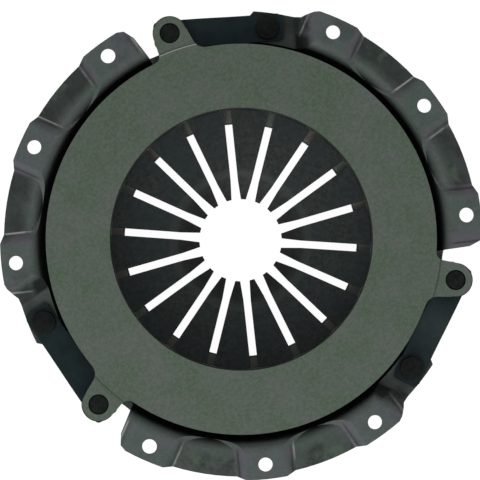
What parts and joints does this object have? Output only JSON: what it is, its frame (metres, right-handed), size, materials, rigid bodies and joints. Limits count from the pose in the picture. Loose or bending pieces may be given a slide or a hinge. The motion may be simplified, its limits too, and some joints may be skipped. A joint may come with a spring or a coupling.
{
  "type": "clutch pressure plate",
  "caption": "Diaphragm-spring clutch cover assembly: pressed cover with a bolt flange, cast pressure plate on drive straps, and fingers that tilt at a fulcrum as the plate retracts.",
  "frame": {"origin": "on the axis, in the plane in which the bolt pads seat on the flywheel", "axes": "+Z along the axis from the gearbox side towards the flywheel, +X through the dowel hole at 0 degrees, +Y through the middle of the first drive strap window"},
  "size_m": [0.298, 0.2911, 0.0512],
  "materials": {
    "cover_steel": "phosphated dark grey pressed steel",
    "friction_iron": "ground grey-green face, as-cast back",
    "spring_steel": "dark shot-peened spring steel",
    "strap_steel": "blued spring steel strip",
    "rivet_steel": "black phosphated",
    "wire_steel": "drawn wire"
  },
  "bodies": {
    "cover": {"cover": "cover_steel", "cover_side_fulcrum_ring": "wire_steel", "plate_side_fulcrum_ring": "wire_steel", "pivot_rivets": "rivet_steel", "strap_rivet_1": "rivet_steel", "strap_rivet_2": "rivet_steel", "strap_rivet_3": "rivet_steel", "drive_strap_1_leaf_1": "strap_steel", "drive_strap_1_leaf_2": "strap_steel", "drive_strap_1_leaf_3": "strap_steel", "drive_strap_2_leaf_1": "strap_steel", "drive_strap_2_leaf_2": "strap_steel", "drive_strap_2_leaf_3": "strap_steel", "drive_strap_3_leaf_1": "strap_steel", "drive_strap_3_leaf_2": "strap_steel", "drive_strap_3_leaf_3": "strap_steel"},
    "pressure_plate": {"pressure_plate": "friction_iron", "lug_rivet_1": "rivet_steel", "lug_rivet_2": "rivet_steel", "lug_rivet_3": "rivet_steel"},
    "finger_01": {"diaphragm_finger_01": "spring_steel"},
    "finger_02": {"diaphragm_finger_02": "spring_steel"},
    "finger_03": {"diaphragm_finger_03": "spring_steel"},
    "finger_04": {"diaphragm_finger_04": "spring_steel"},
    "finger_05": {"diaphragm_finger_05": "spring_steel"},
    "finger_06": {"diaphragm_finger_06": "spring_steel"},
    "finger_07": {"diaphragm_finger_07": "spring_steel"},
    "finger_08": {"diaphragm_finger_08": "spring_steel"},
    "finger_09": {"diaphragm_finger_09": "spring_steel"},
    "finger_10": {"diaphragm_finger_10": "spring_steel"},
    "finger_11": {"diaphragm_finger_11": "spring_steel"},
    "finger_12": {"diaphragm_finger_12": "spring_steel"},
    "finger_13": {"diaphragm_finger_13": "spring_steel"},
    "finger_14": {"diaphragm_finger_14": "spring_steel"},
    "finger_15": {"diaphragm_finger_15": "spring_steel"},
    "finger_16": {"diaphragm_finger_16": "spring_steel"},
    "finger_17": {"diaphragm_finger_17": "spring_steel"},
    "finger_18": {"diaphragm_finger_18": "spring_steel"}
  },
  "joints": [
    {"name": "plate_slide", "type": "slide", "parent": "cover", "child": "pressure_plate", "axis": [0, 0, 1], "range_m": [-0.0055, 0], "deforming": ["drive_strap_1_leaf_1", "drive_strap_1_leaf_2", "drive_strap_1_leaf_3", "drive_strap_2_leaf_1", "drive_strap_2_leaf_2", "drive_strap_2_leaf_3", "drive_strap_3_leaf_1", "drive_strap_3_leaf_2", "drive_strap_3_leaf_3"]},
    {"name": "finger_01_pivot", "type": "hinge", "parent": "cover", "child": "finger_01", "pos_m": [0.085, 0, -0.03365], "axis": [0, 1, 0], "range_deg": [0, 16.1], "stiffness_Nm_per_rad": 2, "springref_deg": -28.65},
    {"name": "finger_02_pivot", "type": "hinge", "parent": "cover", "child": "finger_02", "pos_m": [0.07987, 0.02907, -0.03365], "axis": [-0.342, 0.9397, 0], "range_deg": [0, 16.1], "stiffness_Nm_per_rad": 2, "springref_deg": -28.65},
    {"name": "finger_03_pivot", "type": "hinge", "parent": "cover", "child": "finger_03", "pos_m": [0.06511, 0.05464, -0.03365], "axis": [-0.6428, 0.766, 0], "range_deg": [0, 16.1], "stiffness_Nm_per_rad": 2, "springref_deg": -28.65},
    {"name": "finger_04_pivot", "type": "hinge", "parent": "cover", "child": "finger_04", "pos_m": [0.0425, 0.07361, -0.03365], "axis": [-0.866, 0.5, 0], "range_deg": [0, 16.1], "stiffness_Nm_per_rad": 2, "springref_deg": -28.65},
    {"name": "finger_05_pivot", "type": "hinge", "parent": "cover", "child": "finger_05", "pos_m": [0.01476, 0.08371, -0.03365], "axis": [-0.9848, 0.1736, 0], "range_deg": [0, 16.1], "stiffness_Nm_per_rad": 2, "springref_deg": -28.65},
    {"name": "finger_06_pivot", "type": "hinge", "parent": "cover", "child": "finger_06", "pos_m": [-0.01476, 0.08371, -0.03365], "axis": [-0.9848, -0.1736, 0], "range_deg": [0, 16.1], "stiffness_Nm_per_rad": 2, "springref_deg": -28.65},
    {"name": "finger_07_pivot", "type": "hinge", "parent": "cover", "child": "finger_07", "pos_m": [-0.0425, 0.07361, -0.03365], "axis": [-0.866, -0.5, 0], "range_deg": [0, 16.1], "stiffness_Nm_per_rad": 2, "springref_deg": -28.65},
    {"name": "finger_08_pivot", "type": "hinge", "parent": "cover", "child": "finger_08", "pos_m": [-0.06511, 0.05464, -0.03365], "axis": [-0.6428, -0.766, 0], "range_deg": [0, 16.1], "stiffness_Nm_per_rad": 2, "springref_deg": -28.65},
    {"name": "finger_09_pivot", "type": "hinge", "parent": "cover", "child": "finger_09", "pos_m": [-0.07987, 0.02907, -0.03365], "axis": [-0.342, -0.9397, 0], "range_deg": [0, 16.1], "stiffness_Nm_per_rad": 2, "springref_deg": -28.65},
    {"name": "finger_10_pivot", "type": "hinge", "parent": "cover", "child": "finger_10", "pos_m": [-0.085, 0, -0.03365], "axis": [0, -1, 0], "range_deg": [0, 16.1], "stiffness_Nm_per_rad": 2, "springref_deg": -28.65},
    {"name": "finger_11_pivot", "type": "hinge", "parent": "cover", "child": "finger_11", "pos_m": [-0.07987, -0.02907, -0.03365], "axis": [0.342, -0.9397, 0], "range_deg": [0, 16.1], "stiffness_Nm_per_rad": 2, "springref_deg": -28.65},
    {"name": "finger_12_pivot", "type": "hinge", "parent": "cover", "child": "finger_12", "pos_m": [-0.06511, -0.05464, -0.03365], "axis": [0.6428, -0.766, 0], "range_deg": [0, 16.1], "stiffness_Nm_per_rad": 2, "springref_deg": -28.65},
    {"name": "finger_13_pivot", "type": "hinge", "parent": "cover", "child": "finger_13", "pos_m": [-0.0425, -0.07361, -0.03365], "axis": [0.866, -0.5, 0], "range_deg": [0, 16.1], "stiffness_Nm_per_rad": 2, "springref_deg": -28.65},
    {"name": "finger_14_pivot", "type": "hinge", "parent": "cover", "child": "finger_14", "pos_m": [-0.01476, -0.08371, -0.03365], "axis": [0.9848, -0.1736, 0], "range_deg": [0, 16.1], "stiffness_Nm_per_rad": 2, "springref_deg": -28.65},
    {"name": "finger_15_pivot", "type": "hinge", "parent": "cover", "child": "finger_15", "pos_m": [0.01476, -0.08371, -0.03365], "axis": [0.9848, 0.1736, 0], "range_deg": [0, 16.1], "stiffness_Nm_per_rad": 2, "springref_deg": -28.65},
    {"name": "finger_16_pivot", "type": "hinge", "parent": "cover", "child": "finger_16", "pos_m": [0.0425, -0.07361, -0.03365], "axis": [0.866, 0.5, 0], "range_deg": [0, 16.1], "stiffness_Nm_per_rad": 2, "springref_deg": -28.65},
    {"name": "finger_17_pivot", "type": "hinge", "parent": "cover", "child": "finger_17", "pos_m": [0.06511, -0.05464, -0.03365], "axis": [0.6428, 0.766, 0], "range_deg": [0, 16.1], "stiffness_Nm_per_rad": 2, "springref_deg": -28.65},
    {"name": "finger_18_pivot", "type": "hinge", "parent": "cover", "child": "finger_18", "pos_m": [0.07987, -0.02907, -0.03365], "axis": [0.342, 0.9397, 0], "range_deg": [0, 16.1], "stiffness_Nm_per_rad": 2, "springref_deg": -28.65}
  ],
  "couplings": [
    {"joint": "finger_01_pivot", "follows": "plate_slide", "rad_per_m": -51},
    {"joint": "finger_02_pivot", "follows": "plate_slide", "rad_per_m": -51},
    {"joint": "finger_03_pivot", "follows": "plate_slide", "rad_per_m": -51},
    {"joint": "finger_04_pivot", "follows": "plate_slide", "rad_per_m": -51},
    {"joint": "finger_05_pivot", "follows": "plate_slide", "rad_per_m": -51},
    {"joint": "finger_06_pivot", "follows": "plate_slide", "rad_per_m": -51},
    {"joint": "finger_07_pivot", "follows": "plate_slide", "rad_per_m": -51},
    {"joint": "finger_08_pivot", "follows": "plate_slide", "rad_per_m": -51},
    {"joint": "finger_09_pivot", "follows": "plate_slide", "rad_per_m": -51},
    {"joint": "finger_10_pivot", "follows": "plate_slide", "rad_per_m": -51},
    {"joint": "finger_11_pivot", "follows": "plate_slide", "rad_per_m": -51},
    {"joint": "finger_12_pivot", "follows": "plate_slide", "rad_per_m": -51},
    {"joint": "finger_13_pivot", "follows": "plate_slide", "rad_per_m": -51},
    {"joint": "finger_14_pivot", "follows": "plate_slide", "rad_per_m": -51},
    {"joint": "finger_15_pivot", "follows": "plate_slide", "rad_per_m": -51},
    {"joint": "finger_16_pivot", "follows": "plate_slide", "rad_per_m": -51},
    {"joint": "finger_17_pivot", "follows": "plate_slide", "rad_per_m": -51},
    {"joint": "finger_18_pivot", "follows": "plate_slide", "rad_per_m": -51}
  ]
}
